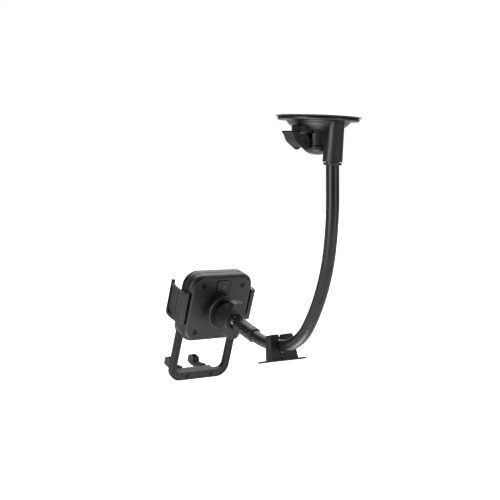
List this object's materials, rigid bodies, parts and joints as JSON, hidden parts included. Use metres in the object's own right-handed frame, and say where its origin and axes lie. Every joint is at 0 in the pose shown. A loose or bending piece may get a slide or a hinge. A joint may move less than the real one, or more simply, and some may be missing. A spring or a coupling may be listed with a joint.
{
  "type": "car phone mount",
  "caption": "Suction-cup car phone mount with a bendable neck, dashboard clip, ball joint and a clamping phone cradle with a bottom support.",
  "frame": {"origin": "centre of the suction disc's sealing face, where it meets the glass", "axes": "+Z out of the sealing face towards the glass it hangs from, the neck lies in the XZ plane, and a phone in the cradle looks towards -X and a little up"},
  "size_m": [0.2142, 0.0772, 0.2286],
  "materials": {
    "moulded_shell": "fine moulded texture, black",
    "satin_trim": "satin black",
    "soft_rubber": "dull soft black",
    "neck_sheath": "smooth satin black sleeve",
    "bright_steel": "plain",
    "ball_polish": "polished black"
  },
  "bodies": {
    "suction_base": {"suction_membrane": "soft_rubber", "base_housing": "moulded_shell", "barrel_cap": "moulded_shell", "neck_collar": "satin_trim", "neck_sheath_root": "neck_sheath", "neck_core_root": "bright_steel", "plunger_spring": "bright_steel"},
    "plunger": {"plunger": "satin_trim"},
    "lever": {"cam_lever": "satin_trim", "lever_pin": "bright_steel"},
    "neck_upper": {"neck_sheath_upper": "neck_sheath", "neck_core_upper": "bright_steel"},
    "neck_lower": {"neck_sheath_lower": "neck_sheath", "neck_core_lower": "bright_steel"},
    "neck_tip": {"neck_sheath_tip": "neck_sheath", "neck_core_tip": "bright_steel", "neck_ferrule": "satin_trim", "ball_stud": "ball_polish"},
    "clip": {"dash_clip": "moulded_shell"},
    "pressure_ring": {"pressure_ring": "soft_rubber"},
    "ball_seat": {"ball_seat": "soft_rubber"},
    "cradle": {"rear_cover": "moulded_shell", "front_cover": "moulded_shell", "front_pad": "soft_rubber", "cover_screw_1": "bright_steel", "cover_screw_2": "bright_steel", "cover_screw_3": "bright_steel", "cover_screw_4": "bright_steel", "button_spring": "bright_steel"},
    "wing_nut": {"wing_nut": "moulded_shell"},
    "left_arm": {"left_arm": "moulded_shell", "left_arm_pad": "soft_rubber"},
    "right_arm": {"right_arm": "moulded_shell", "right_arm_pad": "soft_rubber"},
    "drive_gear": {"drive_gear": "satin_trim"},
    "release_button": {"release_button": "satin_trim"},
    "support": {"support_frame": "moulded_shell", "left_foot": "moulded_shell", "right_foot": "moulded_shell", "left_foot_pad": "soft_rubber", "right_foot_pad": "soft_rubber", "left_foot_screw": "bright_steel", "right_foot_screw": "bright_steel"}
  },
  "joints": [
    {"name": "plunger_lift", "type": "slide", "parent": "suction_base", "child": "plunger", "axis": [0, 0, 1], "range_m": [0, 0.0024], "deforming": ["plunger_spring", "suction_membrane"]},
    {"name": "lever_swing", "type": "hinge", "parent": "plunger", "child": "lever", "pos_m": [0, -0.0163, -0.02], "axis": [1, 0, 0], "range_deg": [0, 75]},
    {"name": "bend_upper", "type": "hinge", "parent": "suction_base", "child": "neck_upper", "pos_m": [0.02029, 0, -0.08223], "axis": [0, 1, 0], "range_deg": [-25, 25]},
    {"name": "bend_lower", "type": "hinge", "parent": "neck_upper", "child": "neck_lower", "pos_m": [0.0044, 0, -0.14875], "axis": [0, 1, 0], "range_deg": [-25, 25]},
    {"name": "bend_tip", "type": "hinge", "parent": "neck_lower", "child": "neck_tip", "pos_m": [-0.05582, 0, -0.17971], "axis": [0, 1, 0], "range_deg": [-25, 25]},
    {"name": "clip_slide", "type": "hinge", "parent": "neck_lower", "child": "clip", "pos_m": [-0.04615, 0, -0.09759], "axis": [0, 1, 0], "range_deg": [-10, 5]},
    {"name": "ball_tilt", "type": "hinge", "parent": "neck_tip", "child": "pressure_ring", "pos_m": [-0.10115, 0, -0.16784], "axis": [0, 1, 0], "range_deg": [-20, 20]},
    {"name": "ball_pan", "type": "hinge", "parent": "pressure_ring", "child": "ball_seat", "pos_m": [-0.10115, 0, -0.16784], "axis": [0.2756, 0, 0.9613], "range_deg": [-15, 15]},
    {"name": "cradle_spin", "type": "hinge", "parent": "ball_seat", "child": "cradle", "pos_m": [-0.10115, 0, -0.16784], "axis": [0.9613, 0, -0.2756], "continuous": true},
    {"name": "nut_turn", "type": "hinge", "parent": "cradle", "child": "wing_nut", "pos_m": [-0.10115, 0, -0.16784], "axis": [0.9613, 0, -0.2756], "range_deg": [0, 180]},
    {"name": "arm_open", "type": "slide", "parent": "cradle", "child": "left_arm", "axis": [0, -1, 0], "range_m": [0, 0.014]},
    {"name": "right_arm_follow", "type": "slide", "parent": "cradle", "child": "right_arm", "axis": [0, 1, 0], "range_m": [0, 0.014]},
    {"name": "gear_spin", "type": "hinge", "parent": "cradle", "child": "drive_gear", "pos_m": [-0.12644, 0, -0.15955], "axis": [0.9613, 0, -0.2756], "range_deg": [0, 168]},
    {"name": "button_press", "type": "slide", "parent": "cradle", "child": "release_button", "axis": [-0.9613, 0, 0.2756], "range_m": [0, 0.0018], "stiffness_N_per_m": 300, "springref_m": -0.001, "deforming": ["button_spring"]},
    {"name": "support_slide", "type": "slide", "parent": "cradle", "child": "support", "axis": [0.2756, 0, 0.9613], "range_m": [-0.006, 0.027]}
  ],
  "couplings": [
    {"joint": "lever_swing", "follows": "plunger_lift", "rad_per_m": 545.41},
    {"joint": "right_arm_follow", "follows": "arm_open", "ratio": 1},
    {"joint": "gear_spin", "follows": "arm_open", "rad_per_m": 208.33}
  ]
}
